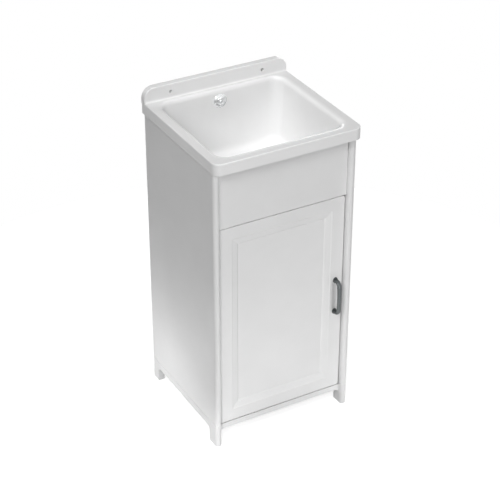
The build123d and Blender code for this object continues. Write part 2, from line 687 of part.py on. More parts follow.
finish(trap_body, "trap_body")

with BuildPart() as trap_cup:
    # Screws on from below, so the trap can be emptied
    with BuildSketch(Plane.XZ):
        with BuildLine():
            Polyline(
                (0, CUP_BOTTOM + TRAP_WALL),
                (0, CUP_BOTTOM),
                (CUP_RADIUS - CUP_CHINE, CUP_BOTTOM),
                (CUP_RADIUS, CUP_BOTTOM + CUP_CHINE),
                (CUP_RADIUS, CUP_SHOULDER - 2 * TRAP_SEAL),
                (CUP_RIM_RADIUS, CUP_SHOULDER - TRAP_SEAL),
                (CUP_RIM_RADIUS, CUP_TOP),
                (TRAP_RADIUS + SLIP, CUP_TOP),
                (TRAP_RADIUS + SLIP, CUP_SHOULDER),
                (cup_inner, CUP_SHOULDER),
                (cup_inner, CUP_BOTTOM + CUP_CHINE),
                (CUP_RADIUS - CUP_CHINE, CUP_BOTTOM + TRAP_WALL),
                close=True,
            )
        make_face()
    revolve(axis=Axis.Z)
    with BuildSketch(Plane.XY.offset(CUP_SHOULDER - TRAP_SEAL)):
        with PolarLocations(CUP_RIM_RADIUS, CUP_GRIPS):
            Circle(NUT_GRIP_RADIUS)
        Circle(CUP_RIM_RADIUS - CUP_GRIP_OVERLAP, mode=Mode.SUBTRACT)
    extrude(amount=CUP_TOP - CUP_SHOULDER + TRAP_SEAL)
finish(trap_cup, "trap_cup")
finish(ring(TRAP_RADIUS, cup_inner, TRAP_BOTTOM - CUP_SHOULDER, CUP_SHOULDER), "trap_cup_seal")

with BuildPart() as waste_outlet:
    # Runs back to the wall; a collar stops the wall fitting that slides over its free end
    outlet_start = TRAP_OUTLET_END - TRAP_OUTLET_DEPTH
    with BuildSketch(outlet_mouth.offset(-TRAP_OUTLET_DEPTH)):
        Circle(WASTE_PIPE_RADIUS)
    extrude(amount=rim_half_depth - outlet_start)
    with BuildSketch(outlet_mouth.offset(OUTLET_STOP_Y - TRAP_OUTLET_END)):
        Circle(OUTLET_STOP_RADIUS)
    extrude(amount=OUTLET_STOP_WIDTH)
    with BuildSketch(outlet_mouth.offset(-TRAP_OUTLET_DEPTH)):
        Circle(WASTE_PIPE_RADIUS - WASTE_PIPE_WALL)
    extrude(amount=rim_half_depth - outlet_start, mode=Mode.SUBTRACT)
finish(waste_outlet, "waste_outlet_pipe")

# ---------------------------------------------------------------- cabinet frame

BASE_WALL = 14.0
LEDGE_DROP = 10.0
LEDGE_WIDTH = 10.0
FLOOR_THICKNESS = 14.0
DOOR_STOP_Y = -143.5
POST_LEG_BACK = -138.0
APRON_FLANGE_BACK = -147.0
FRONT_RAIL_DEPTH = 40.0
FRONT_RAIL_HEIGHT = 9.2
UPPER_RAIL_BOTTOM = 570.0
UPPER_RAIL_HEIGHT = 50.0
LOWER_RAIL_HEIGHT = 60.0
WOOD_SCREW_RADIUS = 1.75
WOOD_SCREW_HEAD_RADIUS = 3.5
WOOD_SCREW_HEAD = 2.2
FLOOR_SCREW_LENGTH = 20.0
FLOOR_SCREW_FRONT_Y = -110.0
FLOOR_SCREW_REAR_Y = 130.0
APRON_SCREW_LENGTH = 10.0
APRON_SCREW_SPACING = 110.0
APRON_SCREW_INSET = 7.0
HINGE_PIN_RADIUS = 3.0
HINGE_PIN_DEPTH = 8.0
HINGE_PIN_REACH = 14.0
HINGE_PIN_END_GAP = 1.0
BLOCK_SIZE = 20.0
BLOCK_SCREW_NEAR = 7.0
BLOCK_SCREW_FAR = 13.0
BLOCK_SCREW_LENGTH = 28.0
CLIP_WIDTH = 24.0
CLIP_SHEET = 2.0
CLIP_HEIGHT = 34.0
CLIP_Y = 95.0
CLIP_SCREW_DROP = 25.5
CLIP_SCREW_LENGTH = 12.0

floor_top = BASE_TOP + FLOOR_THICKNESS
base_inner_x = CABINET_HALF_WIDTH - FOOT_WIDTH
ledge_bottom = BASE_TOP - LEDGE_DROP
front_wall_back = FRONT_RAIL_FACE + BASE_WALL
front_rail_bottom = apron_bottom + APRON_THICKNESS + REST_GAP
front_rail_front = APRON_FACE + APRON_THICKNESS + REST_GAP


def face_plane(origin, normal):
    """Plane of a flat face, with its normal pointing out of the face."""
    return Plane(origin, z_dir=normal)


def wood_screws(planes, length, name):
    """Countersunk screws, each with its head flush with one of the planes."""
    with BuildPart() as screws:
        with Locations(*planes):
            Cone(WOOD_SCREW_RADIUS, WOOD_SCREW_HEAD_RADIUS, WOOD_SCREW_HEAD, align=BELOW)
            Cylinder(WOOD_SCREW_RADIUS, length, align=BELOW)
    finish(screws, name)


def screw_holes(planes, length):
    """Countersunk holes for such screws, cut in the piece that is being made."""
    with Locations(*planes):
        Cone(
            WOOD_SCREW_RADIUS,
            WOOD_SCREW_HEAD_RADIUS,
            WOOD_SCREW_HEAD,
            align=BELOW,
            mode=Mode.SUBTRACT,
        )
        Cylinder(WOOD_SCREW_RADIUS, length, align=BELOW, mode=Mode.SUBTRACT)


floor_screw_x = base_inner_x - LEDGE_WIDTH / 2
floor_screw_planes = [
    face_plane((x, y, floor_top), (0, 0, 1))
    for x in (-floor_screw_x, floor_screw_x)
    for y in (FLOOR_SCREW_FRONT_Y, FLOOR_SCREW_REAR_Y)
]
apron_screw_planes = [
    face_plane((x, APRON_FLANGE_BACK - APRON_SCREW_INSET, apron_bottom), (0, 0, -1))
    for x in (-APRON_SCREW_SPACING, 0.0, APRON_SCREW_SPACING)
]

# Corner blocks join the rails to the side panels from inside, two screws each
upper_block_z = UPPER_RAIL_BOTTOM + UPPER_RAIL_HEIGHT / 2
lower_block_z = floor_top + BLOCK_SIZE
rear_block_planes = []
front_block_planes = []
for x_side in (-1, 1):
    block_face_x = x_side * (panel_inner_x - BLOCK_SIZE)
    for block_z in (upper_block_z, lower_block_z):
        side_screw = (block_face_x, rear_rail_front - BLOCK_SCREW_NEAR, block_z - BLOCK_SIZE / 4)
        rear_block_planes.append(face_plane(side_screw, (-x_side, 0, 0)))
        rail_screw_x = x_side * (panel_inner_x - BLOCK_SCREW_NEAR)
        rail_screw = (rail_screw_x, rear_rail_front - BLOCK_SIZE, block_z + BLOCK_SIZE / 4)
        rear_block_planes.append(face_plane(rail_screw, (0, -1, 0)))
    side_screw = (block_face_x, POST_LEG_BACK + BLOCK_SCREW_FAR, front_rail_bottom - BLOCK_SIZE / 2)
    front_block_planes.append(face_plane(side_screw, (-x_side, 0, 0)))
    rail_screw_x = x_side * (post_inner_x - BLOCK_SIZE / 4)
    rail_screw = (rail_screw_x, POST_LEG_BACK + BLOCK_SIZE / 4, front_rail_bottom - BLOCK_SIZE)
    front_block_planes.append(face_plane(rail_screw, (0, 0, -1)))
all_block_planes = rear_block_planes + front_block_planes
clip_planes = [
    face_plane((x_side * (panel_inner_x - CLIP_SHEET), y, lip_bottom - CLIP_SCREW_DROP), (-x_side, 0, 0))
    for x_side in (-1, 1)
    for y in (-CLIP_Y, CLIP_Y)
]

# Magnetic catch under the front rail, and the steel plate on the door that it holds
CATCH_X = 132.0
CATCH_WIDTH = 32.0
CATCH_DEPTH = 14.0
CATCH_HEIGHT = 13.0
STRIKE_WIDTH = 24.0
STRIKE_HEIGHT = 14.0
STRIKE_SHEET = 1.2
STRIKE_CORNER = 2.0
STRIKE_DROP = 1.0
STRIKE_SCREW_OFFSET = 6.0
STRIKE_SCREW_LENGTH = 10.0
CATCH_SCREW_OFFSET = 11.0
CATCH_SCREW_LENGTH = 20.0

strike_y = door_back + STRIKE_SHEET
catch_y = strike_y + 3 * REST_GAP
strike_middle_z = DOOR_TOP - STRIKE_DROP - STRIKE_HEIGHT / 2
catch_middle_y = catch_y + CATCH_DEPTH / 2
strike_screw_planes = [
    face_plane((CATCH_X + offset, strike_y, strike_middle_z), (0, 1, 0))
    for offset in (-STRIKE_SCREW_OFFSET, STRIKE_SCREW_OFFSET)
]
catch_screw_planes = [
    face_plane((CATCH_X + offset, catch_middle_y, front_rail_bottom - CATCH_HEIGHT), (0, 0, -1))
    for offset in (-CATCH_SCREW_OFFSET, CATCH_SCREW_OFFSET)
]

with BuildPart() as base_frame:
    # One moulding: four walls with arches below, so that the corners become the feet
    with BuildSketch():
        with Locations((0, (CABINET_BACK + FRONT_RAIL_FACE) / 2)):
            Rectangle(2 * CABINET_HALF_WIDTH, CABINET_BACK - FRONT_RAIL_FACE)
        for x_side in (-1, 1):
            with Locations((x_side * post_centre_x, POST_CENTRE_Y)):
                Circle(POST_RADIUS)
            with Locations((x_side * post_centre_x, (POST_CENTRE_Y + FRONT_RAIL_FACE) / 2)):
                Rectangle(2 * POST_RADIUS, FRONT_RAIL_FACE - POST_CENTRE_Y)
    extrude(amount=BASE_TOP)
    outer_top_edges = base_frame.edges().filter_by(
        lambda edge: edge.center().Z > BASE_TOP - SLIP and abs(edge.center().X) > panel_inner_x
    )
    chamfer(outer_top_edges, JOINT_CHAMFER)
    with BuildSketch():
        with Locations((0, (rear_rail_front + front_wall_back) / 2)):
            Rectangle(2 * base_inner_x, rear_rail_front - front_wall_back)
    extrude(amount=ledge_bottom, mode=Mode.SUBTRACT)
    with BuildSketch(Plane.XY.offset(ledge_bottom)):
        with Locations((0, (rear_rail_front + front_wall_back) / 2)):
            Rectangle(
                2 * (base_inner_x - LEDGE_WIDTH),
                rear_rail_front - front_wall_back - 2 * LEDGE_WIDTH,
            )
    extrude(amount=LEDGE_DROP, mode=Mode.SUBTRACT)
    # Low in front, where the door hangs
    with BuildSketch(Plane.XY.offset(FRONT_RAIL_TOP)):
        with Locations((0, (POST_CENTRE_Y + DOOR_STOP_Y) / 2)):
            Rectangle(2 * post_inner_x, DOOR_STOP_Y - POST_CENTRE_Y)
    extrude(amount=BASE_TOP - FRONT_RAIL_TOP, mode=Mode.SUBTRACT)
    # Arches between the feet
    with BuildSketch(Plane.YZ) as side_arch:
        with Locations(((REAR_FOOT_FRONT + FRONT_FOOT_BACK) / 2, 0)):
            Rectangle(REAR_FOOT_FRONT - FRONT_FOOT_BACK, 2 * SIDE_ARCH_TOP)
        fillet(side_arch.vertices().group_by(Axis.Y)[-1], ARCH_ROUND)
    extrude(amount=CABINET_HALF_WIDTH, both=True, mode=Mode.SUBTRACT)
    with BuildSketch(Plane.XZ) as front_arch:
        Rectangle(2 * base_inner_x, 2 * FRONT_ARCH_TOP)
        fillet(front_arch.vertices().group_by(Axis.Y)[-1], ARCH_ROUND)
    extrude(amount=rim_half_depth, both=True, mode=Mode.SUBTRACT)
    fillet(base_frame.faces().group_by(Axis.Z)[0].edges(), FOOT_EDGE_ROUND)
    screw_holes(floor_screw_planes, FLOOR_SCREW_LENGTH)
    # Socket for the door's lower pin
    with Locations((pivot_x, pivot_y, FRONT_RAIL_TOP)):
        Cylinder(HINGE_PIN_RADIUS, HINGE_PIN_DEPTH, align=BELOW, mode=Mode.SUBTRACT)
finish(base_frame, "base_frame")

with BuildPart() as floor_panel:
    with BuildSketch(Plane.XY.offset(BASE_TOP)):
        with Locations((0, (rear_rail_front + DOOR_STOP_Y) / 2)):
            Rectangle(2 * panel_inner_x, rear_rail_front - DOOR_STOP_Y)
        # Notches round the legs of the corner posts
        for x_side in (-1, 1):
            with Locations((x_side * post_leg_x, (DOOR_STOP_Y + POST_LEG_BACK) / 2)):
                Rectangle(post_leg_width, POST_LEG_BACK - DOOR_STOP_Y, mode=Mode.SUBTRACT)
    extrude(amount=FLOOR_THICKNESS)
    screw_holes(floor_screw_planes, FLOOR_SCREW_LENGTH)
finish(floor_panel, "floor_panel")
wood_screws(floor_screw_planes, FLOOR_SCREW_LENGTH, "floor_screws")

for x_side, hand in ((-1, "left"), (1, "right")):
    with BuildPart() as side_panel:
        with BuildSketch(Plane.XY.offset(BASE_TOP)):
            panel_middle_x = x_side * (CABINET_HALF_WIDTH + panel_inner_x) / 2
            with Locations((panel_middle_x, (CABINET_BACK + POST_CENTRE_Y) / 2)):
                Rectangle(PANEL_THICKNESS, CABINET_BACK - POST_CENTRE_Y)
        extrude(amount=plate_underside - BASE_TOP)
        bottom_edges = side_panel.edges().filter_by(Axis.Y).group_by(Axis.Z)[0]
        chamfer(bottom_edges.sort_by(Axis((0, 0, 0), (x_side, 0, 0)))[-1], JOINT_CHAMFER)
        screw_holes(all_block_planes, BLOCK_SCREW_LENGTH)
        screw_holes(clip_planes, CLIP_SCREW_LENGTH)
    finish(side_panel, f"side_panel_{hand}")

    with BuildPart() as post:
        # Half-round nose in front of the panel's edge, and a leg that grips the panel from inside
        with BuildSketch(Plane.XY.offset(BASE_TOP)):
            with Locations((x_side * post_centre_x, POST_CENTRE_Y)):
                Circle(POST_RADIUS)
            with Locations((x_side * post_centre_x, POST_CENTRE_Y + POST_RADIUS / 2)):
                Rectangle(2 * POST_RADIUS, POST_RADIUS, mode=Mode.SUBTRACT)
            with Locations((x_side * post_leg_x, (POST_LEG_BACK + POST_CENTRE_Y) / 2)):
                Rectangle(post_leg_width, POST_LEG_BACK - POST_CENTRE_Y)
        extrude(amount=POST_TOP - BASE_TOP)
        nose_bottom = post.edges().filter_by(GeomType.CIRCLE).group_by(Axis.Z)[0]
        chamfer(nose_bottom, JOINT_CHAMFER)
    finish(post, f"front_post_{hand}")

with BuildPart() as apron:
    # Thin tray behind the basin's skirt: face, lower flange and two side flanges
    apron_half_width = post_inner_x - APRON_SIDE_GAP
    with BuildSketch(Plane.XY.offset(apron_bottom)):
        with Locations((0, (APRON_FLANGE_BACK + APRON_FACE) / 2)):
            Rectangle(2 * apron_half_width, APRON_FLANGE_BACK - APRON_FACE)
    extrude(amount=APRON_TOP - apron_bottom)
    fillet(apron.edges().filter_by(Axis.X).group_by(Axis.Y)[0].sort_by(Axis.Z)[0], APRON_THICKNESS / 2)
    with BuildSketch(Plane.XY.offset(apron_bottom + APRON_THICKNESS)):
        with Locations((0, (APRON_FLANGE_BACK + APRON_FACE + APRON_THICKNESS) / 2)):
            Rectangle(
                2 * (apron_half_width - APRON_THICKNESS),
                APRON_FLANGE_BACK - APRON_FACE - APRON_THICKNESS,
            )
    extrude(amount=APRON_TOP - apron_bottom, mode=Mode.SUBTRACT)
    screw_holes(apron_screw_planes, APRON_SCREW_LENGTH)
    with Locations((pivot_x, pivot_y, apron_bottom)):
        Cylinder(HINGE_PIN_RADIUS + REST_GAP, 3 * APRON_THICKNESS, mode=Mode.SUBTRACT)
finish(apron, "front_apron")

with BuildPart() as front_rail:
    # Carries the apron's lower flange, the catch and the door's upper pin
    with BuildSketch(Plane.XY.offset(front_rail_bottom)):
        with Locations((0, front_rail_front + FRONT_RAIL_DEPTH / 2)):
            Rectangle(2 * (apron_half_width - APRON_THICKNESS - REST_GAP), FRONT_RAIL_DEPTH)
    extrude(amount=FRONT_RAIL_HEIGHT)
    screw_holes(apron_screw_planes, APRON_SCREW_LENGTH)
    screw_holes(front_block_planes, BLOCK_SCREW_LENGTH)
    screw_holes(catch_screw_planes, CATCH_SCREW_LENGTH)
    with Locations((pivot_x, pivot_y, front_rail_bottom)):
        Cylinder(HINGE_PIN_RADIUS, HINGE_PIN_DEPTH, align=ON_TOP, mode=Mode.SUBTRACT)
finish(front_rail, "front_rail")
wood_screws(apron_screw_planes, APRON_SCREW_LENGTH, "apron_screws")

for name, bottom, height in (
    ("rear_upper_rail", UPPER_RAIL_BOTTOM, UPPER_RAIL_HEIGHT),
    ("rear_lower_rail", BASE_TOP, LOWER_RAIL_HEIGHT),
):
    with BuildPart() as rail:
        with BuildSketch(Plane.XY.offset(bottom)):
            with Locations((0, (CABINET_BACK + rear_rail_front) / 2)):
                Rectangle(2 * panel_inner_x, RAIL_THICKNESS)
        extrude(amount=height)
        screw_holes(rear_block_planes, BLOCK_SCREW_LENGTH)
    finish(rail, name)

with BuildPart() as corner_blocks:
    for block_y, block_z in (
        (rear_rail_front - BLOCK_SIZE / 2, upper_block_z),
        (rear_rail_front - BLOCK_SIZE / 2, lower_block_z),
        (POST_LEG_BACK + BLOCK_SIZE / 2, front_rail_bottom - BLOCK_SIZE / 2),
    ):
        with Locations((0, block_y, block_z)):
            with GridLocations(2 * panel_inner_x - BLOCK_SIZE, 0, 2, 1):
                Box(BLOCK_SIZE, BLOCK_SIZE, BLOCK_SIZE)
    screw_holes(all_block_planes, BLOCK_SCREW_LENGTH)
finish(corner_blocks, "corner_blocks")
wood_screws(all_block_planes, BLOCK_SCREW_LENGTH, "corner_block_screws")

with BuildPart() as basin_clips:
    # Angle clips on the side panels that steady the bowl just below its lip
    for x_side in (-1, 1):
        bowl_side_x = BOWL_HALF_WIDTH + SHELL
        for clip_y in (-CLIP_Y, CLIP_Y):
            with BuildSketch(Plane.XZ.offset(-clip_y - CLIP_WIDTH / 2)):
                with Locations((x_side * (panel_inner_x - CLIP_SHEET / 2), lip_bottom - CLIP_HEIGHT / 2)):
                    Rectangle(CLIP_SHEET, CLIP_HEIGHT)
                with Locations((x_side * (panel_inner_x + bowl_side_x) / 2, lip_bottom - CLIP_SHEET / 2)):
                    Rectangle(panel_inner_x - bowl_side_x, CLIP_SHEET)
            extrude(amount=CLIP_WIDTH)
    screw_holes(clip_planes, CLIP_SCREW_LENGTH)
finish(basin_clips, "basin_clips")
wood_screws(clip_planes, CLIP_SCREW_LENGTH, "basin_clip_screws")

# ---------------------------------------------------------------- door

BUSH_RADIUS = 5.0
BUSH_FLANGE_RADIUS = 6.5
BUSH_LENGTH = 16.0
HANDLE_WIDTH = 12.5
HANDLE_DEPTH = 8.0
HANDLE_FOOT_HALF_WIDTH = 7.0
HANDLE_FOOT_HALF_HEIGHT = 8.7
HANDLE_FOOT_DEPTH = 2.5
HANDLE_FOOT_TAPER = 0.4
HANDLE_SCREW_RADIUS = 2.0
HANDLE_SCREW_HEAD_RADIUS = 4.5
HANDLE_SCREW_HEAD = 2.5
HANDLE_SCREW_GRIP = 6.0

handle_fixings = [HANDLE_TOP_FIXING, HANDLE_TOP_FIXING - HANDLE_SPACING]
door_moulding = (
    (FIELD_EDGE_WIDTH, FIELD_EDGE_DEPTH),
    (FIELD_SLOPE_WIDTH, FIELD_SLOPE_DEPTH),
    (FIELD_STEP_WIDTH, FIELD_STEP_DEPTH),
)


def field_outline(inset, depth):
    """Rectangle of the door's sunk field, some way in from its edge and some way deep."""
    with BuildSketch(Plane.XZ.offset(-DOOR_FACE - depth)) as outline:
        with Locations((0, door_mid)):
            Rectangle(
                2 * (FIELD_OUTER_HALF_WIDTH - inset),
                door_height - 2 * (FIELD_MARGIN + inset),
            )
    return outline.sketch.face()


with BuildPart() as door:
    # Slab with a round hinge edge, concentric with the pins, and rounded front edges
    with BuildSketch(Plane.XY.offset(DOOR_BOTTOM)) as door_plan:
        with Locations(((pivot_x + DOOR_HALF_WIDTH) / 2, pivot_y)):
            Rectangle(DOOR_HALF_WIDTH - pivot_x, DOOR_THICKNESS)
        fillet(door_plan.vertices().sort_by(Axis.X)[2:].sort_by(Axis.Y)[0], DOOR_EDGE_ROUND)
        with Locations((pivot_x, pivot_y)):
            Circle(DOOR_THICKNESS / 2)
    extrude(amount=door_height)
    with BuildSketch(Plane.XZ.offset(-door_back)):
        with Locations((0, door_mid)):
            RectangleRounded(2 * DOOR_HALF_WIDTH, door_height, DOOR_CORNER)
    extrude(amount=DOOR_THICKNESS, mode=Mode.INTERSECT)
    with BuildSketch(Plane.YZ) as door_profile:
        with Locations((pivot_y, door_mid)):
            Rectangle(DOOR_THICKNESS, door_height)
        fillet(door_profile.vertices().group_by(Axis.X)[0], DOOR_EDGE_ROUND)
    extrude(amount=DOOR_HALF_WIDTH, both=True, mode=Mode.INTERSECT)
    # The field of the panel lies deeper than its frame, behind a broad stepped moulding
    inset = 0.0
    sunk = 0.0
    for step_width, step_depth in door_moulding:
        outer = field_outline(inset, sunk)
        inset += step_width
        sunk += step_depth
        loft([outer, field_outline(inset, sunk)], ruled=True, mode=Mode.SUBTRACT)
    # Sockets for the bushes, and holes for the handle's screws
    with Locations((pivot_x, pivot_y, DOOR_BOTTOM)):
        Cylinder(BUSH_RADIUS, BUSH_LENGTH, align=ON_TOP, mode=Mode.SUBTRACT)
    with Locations((pivot_x, pivot_y, DOOR_TOP)):
        Cylinder(BUSH_RADIUS, BUSH_LENGTH, align=BELOW, mode=Mode.SUBTRACT)
    for fixing in handle_fixings:
        with Locations(face_plane((HANDLE_X, door_back, fixing), (0, 1, 0))):
            Cylinder(HANDLE_SCREW_RADIUS, DOOR_THICKNESS, align=BELOW, mode=Mode.SUBTRACT)
    screw_holes(strike_screw_planes, STRIKE_SCREW_LENGTH)
finish(door, "door_panel")

for name, mouth, outward, flange in (
    ("door_bush_lower", DOOR_BOTTOM, -1, DOOR_BOTTOM - FRONT_RAIL_TOP - REST_GAP),
    ("door_bush_upper", DOOR_TOP, 1, DOOR_TOP_GAP - 2 * REST_GAP),
):
    with BuildPart() as bush:
        with Locations(face_plane((pivot_x, pivot_y, mouth), (0, 0, outward))):
            Cylinder(BUSH_RADIUS, BUSH_LENGTH, align=BELOW)
            Cylinder(BUSH_FLANGE_RADIUS, flange, align=ON_TOP)
            Cylinder(HINGE_PIN_RADIUS + SLIP, 2 * HINGE_PIN_REACH, mode=Mode.SUBTRACT)
    finish(bush, name)

pin_engagement = HINGE_PIN_REACH - HINGE_PIN_END_GAP
for name, mouth, outward, reach in (
    ("hinge_pin_lower", FRONT_RAIL_TOP, 1, DOOR_BOTTOM - FRONT_RAIL_TOP + pin_engagement),
    ("hinge_pin_upper", front_rail_bottom, -1, front_rail_bottom - DOOR_TOP + pin_engagement),
):
    with BuildPart() as pin:
        with Locations(face_plane((pivot_x, pivot_y, mouth), (0, 0, outward))):
            Cylinder(HINGE_PIN_RADIUS, HINGE_PIN_DEPTH, align=BELOW)
            Cylinder(HINGE_PIN_RADIUS, reach, align=ON_TOP)
    chamfer(pin.faces().sort_by(Axis.Z)[-1 if outward > 0 else 0].edges(), HINGE_PIN_RADIUS / 4)
    finish(pin, name)

with BuildPart() as handle:
    # Slightly arched bow of oval section, which springs from two oval feet
    arch_angle = radians(HANDLE_ARCH_ANGLE)
    bow_start = DOOR_FACE - HANDLE_FOOT_DEPTH / 2
    leg_end = DOOR_FACE - HANDLE_LEG
    bend_end = leg_end - HANDLE_BEND * cos(arch_angle)
    bend_drop = HANDLE_BEND * (1 - sin(arch_angle))
    with BuildLine() as bow:
        upper_leg = Line((HANDLE_X, bow_start, handle_fixings[0]), (HANDLE_X, leg_end, handle_fixings[0]))
        upper_bend = TangentArc(
            upper_leg @ 1,
            (HANDLE_X, bend_end, handle_fixings[0] - bend_drop),
            tangent=upper_leg % 1,
        )
        arch = TangentArc(
            upper_bend @ 1,
            (HANDLE_X, bend_end, handle_fixings[1] + bend_drop),
            tangent=upper_bend % 1,
        )
        lower_bend = TangentArc(arch @ 1, (HANDLE_X, leg_end, handle_fixings[1]), tangent=arch % 1)
        Line(lower_bend @ 1, (HANDLE_X, bow_start, handle_fixings[1]))
    with BuildSketch(Plane(bow.line @ 0, x_dir=(1, 0, 0), z_dir=bow.line % 0)):
        Ellipse(HANDLE_WIDTH / 2, HANDLE_DEPTH / 2)
    sweep(path=bow.line)
    for fixing in handle_fixings:
        with BuildSketch(Plane.XZ.offset(-DOOR_FACE)):
            with Locations((HANDLE_X, fixing)):
                Ellipse(HANDLE_FOOT_HALF_WIDTH, HANDLE_FOOT_HALF_HEIGHT)
        with BuildSketch(Plane.XZ.offset(-DOOR_FACE + HANDLE_FOOT_DEPTH)):
            with Locations((HANDLE_X, fixing)):
                Ellipse(
                    HANDLE_FOOT_HALF_WIDTH - HANDLE_FOOT_TAPER,
                    HANDLE_FOOT_HALF_HEIGHT - HANDLE_FOOT_TAPER,
                )
        loft()
        with Locations(face_plane((HANDLE_X, DOOR_FACE, fixing), (0, 1, 0))):
            Cylinder(HANDLE_SCREW_RADIUS, HANDLE_SCREW_GRIP, align=BELOW, mode=Mode.SUBTRACT)
finish(handle, "door_handle")

with BuildPart() as handle_screws:
    for fixing in handle_fixings:
        with Locations(face_plane((HANDLE_X, door_back, fixing), (0, 1, 0))):
            Cylinder(HANDLE_SCREW_HEAD_RADIUS, HANDLE_SCREW_HEAD, align=ON_TOP)
            Cylinder(HANDLE_SCREW_RADIUS, DOOR_THICKNESS + HANDLE_SCREW_GRIP, align=BELOW)
finish(handle_screws, "handle_screws")

with BuildPart() as strike_plate:
    with BuildSketch(Plane.XZ.offset(-strike_y)):
        with Locations((CATCH_X, strike_middle_z)):
            RectangleRounded(STRIKE_WIDTH, STRIKE_HEIGHT, STRIKE_CORNER)
    extrude(amount=STRIKE_SHEET)
    screw_holes(strike_screw_planes, STRIKE_SCREW_LENGTH)
finish(strike_plate, "strike_plate")
wood_screws(strike_screw_planes, STRIKE_SCREW_LENGTH, "strike_screws")

with BuildPart() as catch:
    # Housing of the magnetic catch, screwed up into the front rail
    with BuildSketch(Plane.XY.offset(front_rail_bottom - CATCH_HEIGHT)):
        with Locations((CATCH_X, catch_middle_y)):
            Rectangle(CATCH_WIDTH, CATCH_DEPTH)
    extrude(amount=CATCH_HEIGHT)
    screw_holes(catch_screw_planes, CATCH_SCREW_LENGTH)
finish(catch, "catch_housing")
wood_screws(catch_screw_planes, CATCH_SCREW_LENGTH, "catch_screws")
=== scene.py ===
"""Looks of the utility laundry sink: materials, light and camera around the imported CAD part.

Metres, +Z up. The origin is on the floor below the middle of the rim, and the front faces -Y.
The CAD part holds every form, so this script adds no piece of its own.
"""

import json
from math import cos, pi, radians, sin
from typing import NamedTuple

import bpy
from mathutils import Euler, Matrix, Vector


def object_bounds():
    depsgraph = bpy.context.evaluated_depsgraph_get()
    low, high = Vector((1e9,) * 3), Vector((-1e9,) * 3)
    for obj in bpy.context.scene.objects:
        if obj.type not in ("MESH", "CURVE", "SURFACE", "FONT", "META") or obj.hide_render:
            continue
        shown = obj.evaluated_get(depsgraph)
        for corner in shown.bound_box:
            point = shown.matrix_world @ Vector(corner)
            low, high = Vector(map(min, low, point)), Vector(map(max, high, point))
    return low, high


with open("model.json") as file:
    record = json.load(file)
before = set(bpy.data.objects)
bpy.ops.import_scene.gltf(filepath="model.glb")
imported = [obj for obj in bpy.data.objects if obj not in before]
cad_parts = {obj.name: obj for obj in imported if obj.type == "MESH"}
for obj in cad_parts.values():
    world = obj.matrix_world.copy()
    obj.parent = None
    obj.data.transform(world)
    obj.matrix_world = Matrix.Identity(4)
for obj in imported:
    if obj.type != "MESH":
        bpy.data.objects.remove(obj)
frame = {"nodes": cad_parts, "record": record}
cad_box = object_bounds()

# ---------------------------------------------------------------- camera

CAMERA_PLACE = (-1.6809, -2.9856, 2.5609)
CAMERA_PITCH = radians(31.581)
CAMERA_YAW = radians(29.285)
CAMERA_ROLL = radians(-0.1035)
IMAGE_SIZE = 500
FOCAL_PIXELS = 1539.4
SENSOR = 36.0


def add_camera():
    """Camera at the photograph's viewing angle."""
    lens = bpy.data.cameras.new("camera")
    lens.sensor_width = SENSOR
    lens.lens = FOCAL_PIXELS * SENSOR / IMAGE_SIZE
    camera = bpy.data.objects.new("camera", lens)
    camera.location = CAMERA_PLACE
    tilt = radians(90) - CAMERA_PITCH
    camera.rotation_euler = Euler((tilt, CAMERA_ROLL, -CAMERA_YAW), "XYZ")
    bpy.context.scene.collection.objects.link(camera)
    bpy.context.scene.camera = camera


# ---------------------------------------------------------------- node helpers

WHITE = (1.0, 1.0, 1.0, 1.0)
EVEN = (1.0, 1.0, 1.0)
NOISE_DETAIL = 3.0
TONE_START = 0.3
TONE_END = 0.7


def new_material(name):
    """Empty node material with its Principled shader already wired to the output."""
    material = bpy.data.materials.new(name)
    material.use_nodes = True
    tree = material.node_tree
    tree.nodes.clear()
    output = tree.nodes.new("ShaderNodeOutputMaterial")
    shader = tree.nodes.new("ShaderNodeBsdfPrincipled")
    tree.links.new(shader.outputs["BSDF"], output.inputs["Surface"])
    return material, tree, shader


def noise(tree, scale, detail=NOISE_DETAIL, stretch=EVEN):
    """Noise in the object's own coordinates, stretched along an axis if asked."""
    place = tree.nodes.new("ShaderNodeTexCoord")
    mapping = tree.nodes.new("ShaderNodeMapping")
    mapping.inputs["Scale"].default_value = stretch
    texture = tree.nodes.new("ShaderNodeTexNoise")
    texture.inputs["Scale"].default_value = scale
    texture.inputs["Detail"].default_value = detail
    tree.links.new(place.outputs["Object"], mapping.inputs["Vector"])
    tree.links.new(mapping.outputs["Vector"], texture.inputs["Vector"])
    return texture.outputs["Fac"]


def combine(tree, operation, first, second):
    """Two values joined by a sum, a product or the like; each is a socket or a number."""
    node = tree.nodes.new("ShaderNodeMath")
    node.operation = operation
    for value, entry in zip((first, second), node.inputs):
        if isinstance(value, float):
            entry.default_value = value
        else:
            tree.links.new(value, entry)
    return node.outputs["Value"]


def spread(tree, value, low, high):
    """A 0 to 1 value spread between two others."""
    node = tree.nodes.new("ShaderNodeMapRange")
    node.inputs["To Min"].default_value = low
    node.inputs["To Max"].default_value = high
    tree.links.new(value, node.inputs["Value"])
    return node.outputs["Result"]


def two_tone(tree, value, dark, light):
    """Colour that runs from dark to light with a 0 to 1 value."""
    ramp = tree.nodes.new("ShaderNodeValToRGB")
    ramp.color_ramp.elements[0].position = TONE_START
    ramp.color_ramp.elements[0].color = (*dark, 1.0)
    ramp.color_ramp.elements[1].position = TONE_END
    ramp.color_ramp.elements[1].color = (*light, 1.0)
    tree.links.new(value, ramp.inputs["Fac"])
    return ramp.outputs["Color"]


